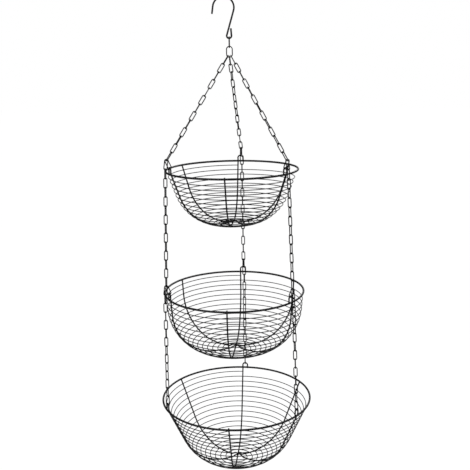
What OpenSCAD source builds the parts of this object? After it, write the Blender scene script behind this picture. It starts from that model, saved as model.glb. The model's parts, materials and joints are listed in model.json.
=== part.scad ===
// Three-tier hanging wire basket: wound wire bowls on chains under a steel hook.
// Millimetres, +Z up, origin at the inside top of the hook's crown.

/* [Hook] */
// Diameter of the hook wire
hook_wire_d = 3.2; // [2.8:0.1:3.4]
// Centreline radius of the hook's crown
crown_r = 19; // [16:0.5:24]
// Length of the slanting stem
stem_length = 44; // [40:1:60]
// Lean of the stem from the vertical
stem_lean = 17; // [15:1:19]
// Centreline radius of the eye under the stem
eye_r = 4.3; // [4.2:0.1:4.6]

/* [Chain] */
// Diameter of the chain wire
link_wire_d = 1.9; // [1.8:0.05:1.9]
// Outer length of a link
link_length = 20.8; // [20:0.2:24]
// Outer width of a link
link_width = 8; // [8:0.1:8.4]
// Outer width of the wide link that gathers the three chains
gather_width = 12.3; // [12.3:0.1:13]
// Links in each chain above the top bowl
top_chain_links = 13; // [13:1:15]
// Links in each chain between two bowls
run_links = 14; // [14:1:16]

/* [Bowls] */
// Outer diameter of the top bowl's rim
top_d = 250; // [240:2:260]
// Outer diameter of the middle bowl's rim
middle_d = 270; // [262:2:280]
// Outer diameter of the bottom bowl's rim
bottom_d = 295; // [285:1:305]
// Depth of the top bowl
top_h = 101; // [95:1:110]
// Depth of the middle bowl
middle_h = 116.5; // [110:0.5:125]
// Depth of the bottom bowl
bottom_h = 131; // [122:1:138]

/* [Wire] */
// Diameter of the rim wire
rim_wire_d = 3.8; // [3.4:0.1:4]
// Diameter of the rib wire
rib_wire_d = 2.8; // [2.6:0.1:3]
// Diameter of the wound wire
wound_wire_d = 1.6; // [1.4:0.1:1.8]

/* [Hidden] */
$fn = 32;

// Clear gap between two linked wires, and the depth that welded wires sink into each other
link_gap = 0.15;
weld_sink = 0.35;

// A wire is made of straight and bent lengths that a thin sleeve joins at every seam
seam_gap = 0.25;
sleeve_half = 0.5;
sleeve_lap = 0.06;

hook_r = hook_wire_d / 2;
link_r = link_wire_d / 2;
rim_r = rim_wire_d / 2;
rib_r = rib_wire_d / 2;
wound_r = wound_wire_d / 2;

// Place of the eye under the crown, which is also the bowls' axis
crown_z = -(crown_r - hook_r);
stem_end = [crown_r * cos(stem_lean) - stem_length * sin(stem_lean),
            crown_z - crown_r * sin(stem_lean) - stem_length * cos(stem_lean)];
eye_centre = [stem_end[0] + eye_r * cos(stem_lean), stem_end[1] - eye_r * sin(stem_lean)];
axis_x = eye_centre[0];
eye_z = eye_centre[1] - eye_r;
eye_return_lean = 4;
eye_return_length = 13;
tip_flare = 8;
tip_length = 12;

// Centre to centre length of a link, and the step of a hanging chain
link_span = link_length - link_wire_d;
link_step = link_span - link_wire_d - link_gap;
hook_over = link_wire_d + link_gap;

// The single link under the eye, and the wide link that gathers the chains
single_bottom = eye_z + hook_r + link_r + link_gap - link_span;
gather_bottom = single_bottom + hook_over - link_span;
gather_arc_r = (gather_width - link_wire_d) / 2;
gather_turns = [0, -40, 40];
function gather_seat(i) = [axis_x + gather_arc_r * sin(gather_turns[i]), 0,
    gather_bottom + gather_arc_r * (1 - cos(gather_turns[i]))];

// Places round a bowl: the back, the front left and the front right
azimuths = [90, 210, 330];
names = ["back", "left", "right"];

// Eyelet on the end of a rib
eyelet_r = 5;
eyelet_top = 11.5;
eyelet_hook = rib_r + link_r + link_gap;
eyelet_base = 4;
rim_bend_length = 3.5;
plain_end = 2.5;

// Where the chains stand outside a rim, and the seat of two links side by side in one
joint_out = 2.5;
run_out = 5;
pair_x = 0.98;
pair_rise = 2.75;
hang_rise = link_span - eyelet_hook - pair_rise;
drop_length = link_span - pair_rise;

// A bowl is [rim radius, depth, wall lean, corner radius, wire step, rim height, name]
rib_inset = rim_r + rib_r - weld_sink;
function rim_radius(d) = d / 2 - rim_r;
function rib_radius(b) = b[0] - rib_inset;
function joint_lean(b) = asin((joint_out + rib_inset) / hang_rise);
joint_height = eyelet_top + hang_rise * cos(asin((joint_out + rib_inset) / hang_rise));
drop_height = joint_height - drop_length * cos(asin((run_out - joint_out) / drop_length));

// A place given by bowl azimuth, distance from the axis, clockwise offset and height
function place(a, r, t, z) =
    [axis_x + r * cos(a) + t * sin(a), r * sin(a) - t * cos(a), z];

top_rim_r = rim_radius(top_d);
middle_rim_r = rim_radius(middle_d);
bottom_rim_r = rim_radius(bottom_d);

// Heights that follow from the lengths of the chains
top_joint_z = gather_bottom - sqrt(pow(top_chain_links * link_step, 2)
    - pow(top_rim_r + joint_out, 2) - pow(eyelet_r + pair_x, 2));
top_z = top_joint_z - joint_height;
run_length = (run_links - 1) * link_step;
middle_z = top_z + drop_height - joint_height
    - sqrt(pow(run_length, 2) - pow(middle_rim_r + joint_out - top_rim_r - run_out, 2)
    - pow(pair_x, 2));
bottom_z = middle_z + drop_height - (eyelet_top - eyelet_hook)
    - sqrt(pow(run_length, 2) - pow(bottom_rim_r - rib_inset - middle_rim_r - run_out, 2)
    - pow(2 * pair_x, 2));

BOWLS = [
    [top_rim_r, top_h, 20, 86, 9.25, top_z, "top"],
    [middle_rim_r, middle_h, 4, 91, 10, middle_z, "middle"],
    [bottom_rim_r, bottom_h, 24.5, 93, 10.5, bottom_z, "bottom"]
];

// Lengths along a rib's centreline: straight wall, corner and half of the flat bottom
function inner_r(b) = rib_radius(b) - b[1] * tan(b[2]);
function corner_t(b) = b[3] * tan((90 - b[2]) / 2);
function flat_r(b) = inner_r(b) - corner_t(b);
function wall_length(b) = b[1] / cos(b[2]) - corner_t(b);
function corner_length(b) = b[3] * (90 - b[2]) * PI / 180;
function whole_length(b) = wall_length(b) + corner_length(b) + flat_r(b);

// Point [radius, height] at a length along the profile, set off outwards
wound_off = rib_r + wound_r - weld_sink;
function wound_point(b, s) =
    s < wall_length(b)
    ? [rib_radius(b) - s * sin(b[2]) + wound_off * cos(b[2]), -s * cos(b[2]) - wound_off * sin(b[2])]
    : s < wall_length(b) + corner_length(b)
    ? let (f = b[2] + (s - wall_length(b)) / b[3] * 180 / PI)
      [flat_r(b) + (b[3] + wound_off) * cos(f), b[3] - b[1] - (b[3] + wound_off) * sin(f)]
    : [flat_r(b) - (s - wall_length(b) - corner_length(b)), -b[1] - wound_off];

// Half turns of the wound wire, from below the rim to a small ring round the centre
wound_start = 8;
wound_end_r = 13;
function half_turns(b) = floor((whole_length(b) - wound_start - wound_end_r) / (b[4] / 2));
function wound_s(b, k) = wound_start + k * b[4] / 2;
function least_gap(b) = min([for (k = [0:half_turns(b) - 2])
    norm(wound_point(b, wound_s(b, k)) - wound_point(b, wound_s(b, k + 2))) - wound_wire_d]);
for (b = BOWLS) echo(bowl = b[6], turns = half_turns(b) / 2, least_gap = least_gap(b), rim_z = b[5]);

// Ribs cross at the bottom one above the other
rib_stack = 2.45;
hump_bend_r = 6;
hump_angle = 30;
hump_top = 4;

steel = [0.07, 0.07, 0.08];

// Straight and bent lengths of wire in the XY plane, starting along +X.
// Each row is [length, 0] or [bend radius, turn to the left in degrees].
module bent_wire(rows, r, i = 0) {
    if (i < len(rows)) {
        turn = rows[i][1];
        size = rows[i][0];
        side = turn < 0 ? -1 : 1;
        angle = abs(turn);
        if (angle == 0) {
            translate([seam_gap, 0, 0]) rotate([0, 90, 0])
                cylinder(r = r, h = size - 2 * seam_gap);
        } else {
            trim = seam_gap / size * 180 / PI;
            translate([0, side * size, 0])
                rotate_extrude(angle = angle - 2 * trim,
                    start = (side > 0 ? -90 : 90 - angle) + trim)
                    translate([size, 0]) circle(r = r);
        }
        translate([angle == 0 ? size : size * sin(angle),
                   angle == 0 ? 0 : side * size * (1 - cos(angle)), 0])
        rotate([0, 0, turn]) {
            if (i < len(rows) - 1) sleeve(r);
            bent_wire(rows, r, i + 1);
        }
    }
}

module sleeve(r) {
    rotate([0, 90, 0]) cylinder(r = r + sleeve_lap, h = 2 * sleeve_half, center = true);
}

// The XY plane stood up: X stays, Y points up
module upright() {
    rotate([90, 0, 0]) children();
}

// A link in the XZ plane, the wire's centre at its lower end on the origin
module link(width = link_width) {
    arc_r = (width - link_wire_d) / 2;
    straight = link_span - 2 * arc_r;
    translate([0, 0, arc_r]) upright() {
        rotate_extrude(angle = 180, start = 180) translate([arc_r, 0]) circle(r = link_r);
        translate([0, straight, 0])
            rotate_extrude(angle = 180) translate([arc_r, 0]) circle(r = link_r);
        for (x = [-arc_r, arc_r]) translate([x, 0, 0]) rotate([-90, 0, 0])
            cylinder(r = link_r, h = straight);
    }
}

// A link with its lower wire at a point, its length along a direction, its width at an azimuth
module set_link(p, up, wide) {
    tilt = acos(up[2] / norm(up));
    round_z = atan2(up[1], up[0]);
    translate(p) rotate([0, 0, round_z]) rotate([0, tilt, 0]) rotate([0, 0, wide - round_z])
        link();
}

// Links from the wire centre p that carries them to the last link's wire centre q.
// Every link is a quarter turn from the last, and what is over is shared among them.
module chain(p, q, n, wide_first, wide_last, from = 1, to = 0) {
    up = (p - q) / n;
    over = (wide_last - wide_first - 90 * (n - 1)) % 180;
    part = over < -90 ? over + 180 : over > 90 ? over - 180 : over;
    turn = 90 + part / (n - 1);
    for (k = [from:to == 0 ? n : to])
        set_link(p - k * up, up, wide_first + (k - 1) * turn);
}

module hook() {
    color(steel) translate([crown_r * cos(180 - tip_flare), 0,
            crown_z + crown_r * sin(tip_flare)])
        upright() rotate([0, 0, 90 - tip_flare]) {
            translate([-tip_length, 0, 0]) {
                sphere(r = hook_r);
                rotate([0, 90, 0]) cylinder(r = hook_r, h = tip_length - seam_gap);
            }
            sleeve(hook_r);
            bent_wire([[crown_r, -(180 + stem_lean - tip_flare)], [stem_length, 0],
                [eye_r, 180 + stem_lean + eye_return_lean], [eye_return_length, 0]], hook_r);
        }
}

module single_link() {
    color(steel) translate([axis_x, 0, single_bottom]) rotate([0, 0, 90]) link();
}

module gather_link() {
    color(steel) translate([axis_x, 0, gather_bottom]) link(gather_width);
}

// The common link's lower wire, and the lower wires of the two links that it holds
function joint_point(b, a) = place(a, b[0] + joint_out, eyelet_r + pair_x, b[5] + joint_height);
function drop_point(b, a) = place(a, b[0] + run_out, eyelet_r + 2 * pair_x, b[5] + drop_height);
function hang_point(b, a) =
    place(a, rib_radius(b), eyelet_r, b[5] + eyelet_top) - eyelet_hook * hang_up(b, a);
function hang_up(b, a) =
    [sin(joint_lean(b)) * cos(a), sin(joint_lean(b)) * sin(a), cos(joint_lean(b))];

module upper_chain(i) {
    a = azimuths[i];
    color(steel) chain(gather_seat(i), joint_point(BOWLS[0], a), top_chain_links, 90, a - 90);
}

module eyelet_links(b) {
    color(steel) for (a = azimuths) set_link(hang_point(b, a), hang_up(b, a), a);
}

module drop_links(b) {
    color(steel) for (a = azimuths) {
        top = joint_point(b, a) + place(a, 0, pair_x, 0) - [axis_x, 0, 0];
        set_link(drop_point(b, a), top - drop_point(b, a), a);
    }
}

// The run between two bowls: its links hang from a drop link and end in a joint link
function run_start(t, a) = drop_point(BOWLS[t - 1], a);
function run_end(t, a) = t == 1 ? joint_point(BOWLS[1], a)
    : place(a, rib_radius(BOWLS[2]), eyelet_r, BOWLS[2][5] + eyelet_top - eyelet_hook);
module run(t, a, from, to) {
    color(steel) chain(run_start(t, a), run_end(t, a), run_links - 1, a - 90,
        t == 1 ? a - 90 : a, from, to);
}

module joint_links(t) {
    for (a = azimuths) run(t, a, run_links - 1, run_links - 1);
}

module rim(b) {
    color(steel) translate([axis_x, 0, b[5]])
        rotate_extrude() translate([b[0], 0]) circle(r = rim_r);
}

// A rib runs down from its eyelet, under the bowl and up to a plain end
module rib(b, i) {
    r = rib_radius(b);
    lean = b[2];
    rim_bend_r = rim_bend_length / lean * 180 / PI;
    rim_tangent = rim_bend_r * tan(lean / 2);
    wall = wall_length(b);
    rise = i * rib_stack;
    hump_rise = 2 * hump_bend_r * (1 - cos(hump_angle));
    slope = i == 0 ? 0 : (rise - hump_rise) / sin(hump_angle);
    hump_run = 2 * hump_bend_r * sin(hump_angle) + slope * cos(hump_angle);
    flat = flat_r(b);
    bottom = i == 0 ? [[2 * flat, 0]] : [
        [flat - hump_run - hump_top, 0],
        [hump_bend_r, hump_angle], [slope, 0], [hump_bend_r, -hump_angle],
        [2 * hump_top, 0],
        [hump_bend_r, -hump_angle], [slope, 0], [hump_bend_r, hump_angle],
        [flat - hump_run - hump_top, 0]
    ];
    rows = concat(
        [[eyelet_base - rim_tangent, 0], [rim_bend_r, lean], [wall - rim_tangent, 0],
         [b[3], 90 - lean]],
        bottom,
        [[b[3], 90 - lean], [wall + plain_end, 0]]
    );
    color(steel) translate([axis_x, 0, b[5]]) rotate([0, 0, azimuths[i]]) {
        translate([r, 0, eyelet_base]) {
            rotate([0, 0, 180]) upright() rotate([0, 0, -90])
                bent_wire(rows, rib_r);
            rotate([0, 90, 0]) sleeve(rib_r);
            rotate([0, 0, -90]) upright() rotate([0, 0, 90])
                bent_wire([[eyelet_top - eyelet_r - eyelet_base, 0], [eyelet_r, -180],
                    [eyelet_top - eyelet_r + 1, 0]], rib_r);
        }
    }
}

// The wound wire: half turns that meet at the back and the front, each tilted to climb
module wound_wire(b) {
    n = half_turns(b);
    color(steel) translate([axis_x, 0, b[5]]) {
        for (k = [0:n - 1]) {
            p = wound_point(b, wound_s(b, k));
            q = wound_point(b, wound_s(b, k + 1));
            side = k % 2 == 0 ? 1 : -1;
            radius = norm([p[0] + q[0], p[1] - q[1]]) / 2;
            trim = seam_gap / radius * 180 / PI;
            translate([0, side * (p[0] - q[0]) / 2, (p[1] + q[1]) / 2])
                rotate([side * atan2(p[1] - q[1], p[0] + q[0]), 0, 0])
                rotate_extrude(angle = 180 - 2 * trim, start = side * 90 + trim)
                translate([radius, 0]) circle(r = wound_r);
            if (k > 0) translate([0, side * p[0], p[1]]) sleeve(wound_r);
        }
    }
}

hook();
single_link();
gather_link();
for (i = [0:2]) {
    n = names[i];
    upper_chain(i);
    run(1, azimuths[i], 1, run_links - 2);
    run(2, azimuths[i], 1, run_links - 2);
}
eyelet_links(BOWLS[0]);  // top_eyelet_links
eyelet_links(BOWLS[1]);  // middle_eyelet_links
drop_links(BOWLS[0]);  // top_drop_links
drop_links(BOWLS[1]);  // middle_drop_links
joint_links(1);  // middle_joint_links
joint_links(2);  // bottom_joint_links
for (b = BOWLS) {
    rim(b);
    wound_wire(b);
    for (i = [0:2])
        rib(b, i);
}
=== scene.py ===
import json
from math import cos, pi, radians, sin, tan

import bmesh
import bpy
from mathutils import Matrix, Vector


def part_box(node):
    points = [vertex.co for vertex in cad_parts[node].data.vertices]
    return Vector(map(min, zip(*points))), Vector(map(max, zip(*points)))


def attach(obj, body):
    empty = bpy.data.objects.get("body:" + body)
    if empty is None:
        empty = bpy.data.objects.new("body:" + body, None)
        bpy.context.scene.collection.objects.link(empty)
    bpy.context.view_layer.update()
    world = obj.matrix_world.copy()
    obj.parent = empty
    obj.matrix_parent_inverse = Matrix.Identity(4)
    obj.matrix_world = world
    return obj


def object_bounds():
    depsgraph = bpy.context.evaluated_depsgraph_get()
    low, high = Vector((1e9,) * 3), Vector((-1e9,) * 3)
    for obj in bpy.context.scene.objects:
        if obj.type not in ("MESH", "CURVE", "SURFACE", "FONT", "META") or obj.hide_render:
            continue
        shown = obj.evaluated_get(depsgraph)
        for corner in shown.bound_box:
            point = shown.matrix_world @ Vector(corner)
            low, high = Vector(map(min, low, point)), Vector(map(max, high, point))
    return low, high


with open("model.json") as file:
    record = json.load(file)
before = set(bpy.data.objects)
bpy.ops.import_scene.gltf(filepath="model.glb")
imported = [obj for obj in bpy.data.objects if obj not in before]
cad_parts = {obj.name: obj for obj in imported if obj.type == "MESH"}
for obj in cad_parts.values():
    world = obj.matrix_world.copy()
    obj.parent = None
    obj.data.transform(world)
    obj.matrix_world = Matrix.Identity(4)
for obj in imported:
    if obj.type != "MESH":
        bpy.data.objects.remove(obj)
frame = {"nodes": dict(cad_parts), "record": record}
cad_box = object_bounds()
MM_PER_M = 1000

# Camera, worked out from the ellipses of the three rims
IMAGE_WIDTH_PX = 470
FOCAL_PX = 759.6
SENSOR_MM = 36.0
CAMERA_DISTANCE = 1.406
CAMERA_ABOVE_RIM = 0.198
CAMERA_ASIDE = 0.0034
CAMERA_PITCH = 12.96
CAMERA_YAW = 6.0
CAMERA_ROLL = -1.15
CAMERA_CLIP_END = 100.0

# Bowls in millimetres, as the part's source has them: depth, wall lean, corner radius, wire step
BOWLS = {
    "top": (101.0, 20.0, 86.0, 9.25),
    "middle": (116.5, 4.0, 91.0, 10.0),
    "bottom": (131.0, 24.5, 93.0, 10.5),
}
RIM_WIRE_R = 1.9
RIB_WIRE_R = 1.4
WELD_SINK = 0.35
EYELET_R = 5.0
WOUND_START = 8.0
WOUND_END_R = 13.0
FIRST_RIB_AZIMUTH = 90
RIB_STEP = 60

# Weld nuggets in millimetres: half sizes along the wound wire, along the rib and out of the wall
SPOT_HALF_SIZE = (1.5, 1.2, 0.85)
RIM_SPOT_HALF_SIZE = (1.7, 2.0, 1.15)
SPOT_SUBDIVISIONS = 2

# Powder coats: dark tone, light tone, roughness and fineness of the grain
COATS = {
    "coated_wire": ((0.004, 0.004, 0.005), (0.011, 0.011, 0.012), 0.42, 900),
    "coated_chain": ((0.003, 0.003, 0.004), (0.010, 0.010, 0.011), 0.38, 1200),
    "coated_hook": ((0.004, 0.004, 0.005), (0.011, 0.011, 0.012), 0.36, 700),
}
TONE_PATCH = 0.12
TONE_LIMITS = (0.32, 0.74)
TONE_DETAIL = 4.0
TONE_FRACTURE = 0.6
SHEEN_PATCH = 0.3
SHEEN_LIMITS = (0.3, 0.7)
SHEEN_DETAIL = 3.0
ROUGHNESS_DRIFT = (-0.07, 0.1)
PEEL_DETAIL = 2.0
PEEL_STRENGTH = 0.25
PEEL_HEIGHT = 0.00012
SPECULAR = 0.3
COAT_WEIGHT = 0.05
COAT_ROUGHNESS = 0.25

# Stage: the floor's white is the share of plain glow that the camera sees in it
FLOOR_BELOW = 0.6
FLOOR_SIZE = 40.0
FLOOR_WHITE = 0.86
FLOOR_GLOW = 1.15
FLOOR_GREY = 0.6
SKY_LIGHT = 0.2

# Area lights: place, width and power
LIGHTS = {
    "key": ((-1.1, -1.5, 0.7), 1.2, 22),
    "fill": ((1.5, -1.2, -0.1), 1.5, 10),
    "edge": ((0.4, 1.6, 0.6), 1.0, 14),
}


def centre_of(node):
    low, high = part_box(node)
    return (low + high) / 2


def make_camera():
    """A camera at the photograph's distance, height, heading and tilt."""
    rim = centre_of("top_rim")
    heading = Matrix.Rotation(radians(CAMERA_YAW), 4, "Z")
    data = bpy.data.cameras.new("camera")
    data.sensor_width = SENSOR_MM
    data.lens = SENSOR_MM * FOCAL_PX / IMAGE_WIDTH_PX
    data.clip_end = CAMERA_CLIP_END
    camera = bpy.data.objects.new("camera", data)
    bpy.context.scene.collection.objects.link(camera)
    place = rim + heading @ Vector((CAMERA_ASIDE, -CAMERA_DISTANCE, CAMERA_ABOVE_RIM))
    tilt = Matrix.Rotation(radians(90 - CAMERA_PITCH), 4, "X")
    roll = Matrix.Rotation(radians(CAMERA_ROLL), 4, "Z")
    camera.matrix_world = Matrix.Translation(place) @ heading @ tilt @ roll
    bpy.context.scene.camera = camera


def node(tree, kind, **inputs):
    made = tree.nodes.new(kind)
    for name, value in inputs.items():
        made.inputs[name.replace("_", " ")].default_value = value
    return made


def coated_steel(name, dark, light, roughness, grain):
    """Thin powder coat on steel wire: a soft orange peel, uneven sheen and faint dusty tone."""
    material = bpy.data.materials.new(name)
    material.use_nodes = True
    tree = material.node_tree
    surface = tree.nodes["Principled BSDF"]
    place = tree.nodes.new("ShaderNodeTexCoord")

    tone = node(tree, "ShaderNodeTexNoise", Scale=grain * TONE_PATCH, Detail=TONE_DETAIL,
                Roughness=TONE_FRACTURE)
    tree.links.new(place.outputs["Object"], tone.inputs["Vector"])
    ramp = tree.nodes.new("ShaderNodeValToRGB")
    for stop, limit, colour in zip(ramp.color_ramp.elements, TONE_LIMITS, (dark, light)):
        stop.position = limit
        stop.color = (*colour, 1)
    tree.links.new(tone.outputs["Fac"], ramp.inputs["Fac"])
    tree.links.new(ramp.outputs["Color"], surface.inputs["Base Color"])

    sheen = node(tree, "ShaderNodeTexNoise", Scale=grain * SHEEN_PATCH, Detail=SHEEN_DETAIL)
    tree.links.new(place.outputs["Object"], sheen.inputs["Vector"])
    spread = tree.nodes.new("ShaderNodeMapRange")
    spread.inputs["From Min"].default_value = SHEEN_LIMITS[0]
    spread.inputs["From Max"].default_value = SHEEN_LIMITS[1]
    spread.inputs["To Min"].default_value = roughness + ROUGHNESS_DRIFT[0]
    spread.inputs["To Max"].default_value = roughness + ROUGHNESS_DRIFT[1]
    tree.links.new(sheen.outputs["Fac"], spread.inputs["Value"])
    tree.links.new(spread.outputs["Result"], surface.inputs["Roughness"])

    peel = node(tree, "ShaderNodeTexNoise", Scale=grain, Detail=PEEL_DETAIL)
    tree.links.new(place.outputs["Object"], peel.inputs["Vector"])
    bump = node(tree, "ShaderNodeBump", Strength=PEEL_STRENGTH, Distance=PEEL_HEIGHT)
    tree.links.new(peel.outputs["Fac"], bump.inputs["Height"])
    tree.links.new(bump.outputs["Normal"], surface.inputs["Normal"])

    surface.inputs["Metallic"].default_value = 0.0
    surface.inputs["Specular IOR Level"].default_value = SPECULAR
    surface.inputs["Coat Weight"].default_value = COAT_WEIGHT
    surface.inputs["Coat Roughness"].default_value = COAT_ROUGHNESS
    return material


def dress_wires():
    """Each CAD piece keeps its shape and gets the coat of its slot."""
    coats = {slot: coated_steel(slot, *values) for slot, values in COATS.items()}
    for row in frame["record"]["subparts"]:
        piece = frame["nodes"][row["node"]]
        piece.data.materials.clear()
        piece.data.materials.append(coats[row["material_slot"]])
        for face in piece.data.polygons:
            face.use_smooth = True
    return coats


class Profile:
    """A rib's centreline from the rim down the wall, round the corner and in along the flat."""

    def __init__(self, name):
        self.depth, self.lean, self.corner, self.step = BOWLS[name]
        low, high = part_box(name + "_rim")
        self.centre = (low + high) / 2
        self.rim_r = (high.x - low.x) / 2 * MM_PER_M - RIM_WIRE_R
        self.rib_r = self.rim_r - RIM_WIRE_R - RIB_WIRE_R + WELD_SINK
        lean = radians(self.lean)
        tangent = self.corner * tan((pi / 2 - lean) / 2)
        self.flat = self.rib_r - self.depth * tan(lean) - tangent
        self.wall = self.depth / cos(lean) - tangent
        self.bend = self.corner * (pi / 2 - lean)
        self.whole = self.wall + self.bend + self.flat

    def at(self, s, off):
        """Radius, height and outward lean at a length s, set off outwards."""
        lean = radians(self.lean)
        if s < self.wall:
            return (self.rib_r - s * sin(lean) + off * cos(lean),
                    -s * cos(lean) - off * sin(lean), lean)
        turned = lean + (s - self.wall) / self.corner
        if s < self.wall + self.bend:
            reach = self.corner + off
            return (self.flat + reach * cos(turned),
                    self.corner - self.depth - reach * sin(turned), turned)
        return self.flat - (s - self.wall - self.bend), -self.depth - off, pi / 2


def spot(mesh, place, outward, along, half_size):
    """One weld nugget: a flattened ball with its axes along the wire, along the rib and outward."""
    third = outward.cross(along)
    turn = Matrix((along, third, outward)).transposed().to_4x4()
    size = Matrix.Diagonal((*[half / MM_PER_M for half in half_size], 1))
    bmesh.ops.create_icosphere(mesh, subdivisions=SPOT_SUBDIVISIONS, radius=1.0,
                               matrix=Matrix.Translation(place) @ turn @ size)


def make_welds(name, coat):
    """The weld nuggets of a bowl, where the wound wire crosses a rib and where ribs meet the rim."""
    profile = Profile(name)
    mesh = bmesh.new()
    crossings = 180 // RIB_STEP
    half_turns = int((profile.whole - WOUND_START - WOUND_END_R) // (profile.step / 2))
    for i in range(half_turns * crossings + 1):
        half, part = divmod(i, crossings)
        climb = half + (1 - cos(radians(part * RIB_STEP))) / 2
        radius, height, lean = profile.at(WOUND_START + climb * profile.step / 2,
                                          RIB_WIRE_R - WELD_SINK / 2)
        azimuth = radians(FIRST_RIB_AZIMUTH + i * RIB_STEP)
        if radius < profile.flat:
            continue
        ring = Vector((cos(azimuth), sin(azimuth), 0))
        outward = ring * cos(lean) - Vector((0, 0, 1)) * sin(lean)
        place = profile.centre + (ring * radius + Vector((0, 0, height))) / MM_PER_M
        spot(mesh, place, outward, Vector((-sin(azimuth), cos(azimuth), 0)), SPOT_HALF_SIZE)
    for i in range(360 // RIB_STEP):
        azimuth = radians(FIRST_RIB_AZIMUTH + i * RIB_STEP)
        ring = Vector((cos(azimuth), sin(azimuth), 0))
        side = Vector((-sin(azimuth), cos(azimuth), 0))
        legs = (0, -2 * EYELET_R) if i % 2 == 0 else (0,)
        for leg in legs:
            reach = profile.rim_r - RIM_WIRE_R + WELD_SINK / 2
            place = profile.centre + (ring * reach + side * leg) / MM_PER_M
            spot(mesh, place, ring, side, RIM_SPOT_HALF_SIZE)
    data = bpy.data.meshes.new(name + "_welds")
    mesh.to_mesh(data)
    mesh.free()
    for face in data.polygons:
        face.use_smooth = True
    data.materials.append(coat)
    welds = bpy.data.objects.new(name + "_welds", data)
    bpy.context.scene.collection.objects.link(welds)
    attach(welds, name + "_tier")


def make_floor(lowest):
    """A floor well below the bowls: white to the camera, and grey paper to every other ray."""
    bpy.ops.mesh.primitive_plane_add(size=FLOOR_SIZE, location=(0, 0, lowest - FLOOR_BELOW))
    floor = bpy.context.object
    floor.name = "floor"
    material = bpy.data.materials.new("floor_paper")
    material.use_nodes = True
    tree = material.node_tree
    tree.nodes.clear()
    out = tree.nodes.new("ShaderNodeOutputMaterial")
    mix = tree.nodes.new("ShaderNodeMixShader")
    glow = node(tree, "ShaderNodeEmission", Color=(1, 1, 1, 1), Strength=FLOOR_GLOW)
    paper = node(tree, "ShaderNodeBsdfDiffuse", Color=(FLOOR_GREY, FLOOR_GREY, FLOOR_GREY, 1))
    path = tree.nodes.new("ShaderNodeLightPath")
    share = tree.nodes.new("ShaderNodeMath")
    share.operation = "MULTIPLY"
    share.inputs[1].default_value = FLOOR_WHITE
    tree.links.new(path.outputs["Is Camera Ray"], share.inputs[0])
    tree.links.new(share.outputs["Value"], mix.inputs["Fac"])
    tree.links.new(paper.outputs["BSDF"], mix.inputs[1])
    tree.links.new(glow.outputs["Emission"], mix.inputs[2])
    tree.links.new(mix.outputs["Shader"], out.inputs["Surface"])
    floor.data.materials.append(material)


def make_light(name, aim, place, size, power):
    data = bpy.data.lights.new(name, "AREA")
    data.size = size
    data.energy = power
    lamp = bpy.data.objects.new(name, data)
    bpy.context.scene.collection.objects.link(lamp)
    lamp.location = place
    lamp.rotation_euler = (aim - Vector(place)).to_track_quat("-Z", "Y").to_euler()


def make_world():
    """A white sky for the camera, and a dim one for light and reflections."""
    world = bpy.data.worlds.new("studio")
    bpy.context.scene.world = world
    world.use_nodes = True
    tree = world.node_tree
    sky = tree.nodes["Background"]
    path = tree.nodes.new("ShaderNodeLightPath")
    level = tree.nodes.new("ShaderNodeMapRange")
    level.inputs["To Min"].default_value = SKY_LIGHT
    level.inputs["To Max"].default_value = 1.0
    tree.links.new(path.outputs["Is Camera Ray"], level.inputs["Value"])
    tree.links.new(level.outputs["Result"], sky.inputs["Strength"])
    sky.inputs["Color"].default_value = (1, 1, 1, 1)


make_camera()
coats = dress_wires()
for bowl in BOWLS:
    make_welds(bowl, coats["coated_wire"])
heart = centre_of("middle_rim")
make_floor(cad_box[0][2])
for lamp_name, lamp_values in LIGHTS.items():
    make_light(lamp_name, heart, *lamp_values)
make_world()
bpy.context.scene.view_settings.view_transform = "Standard"
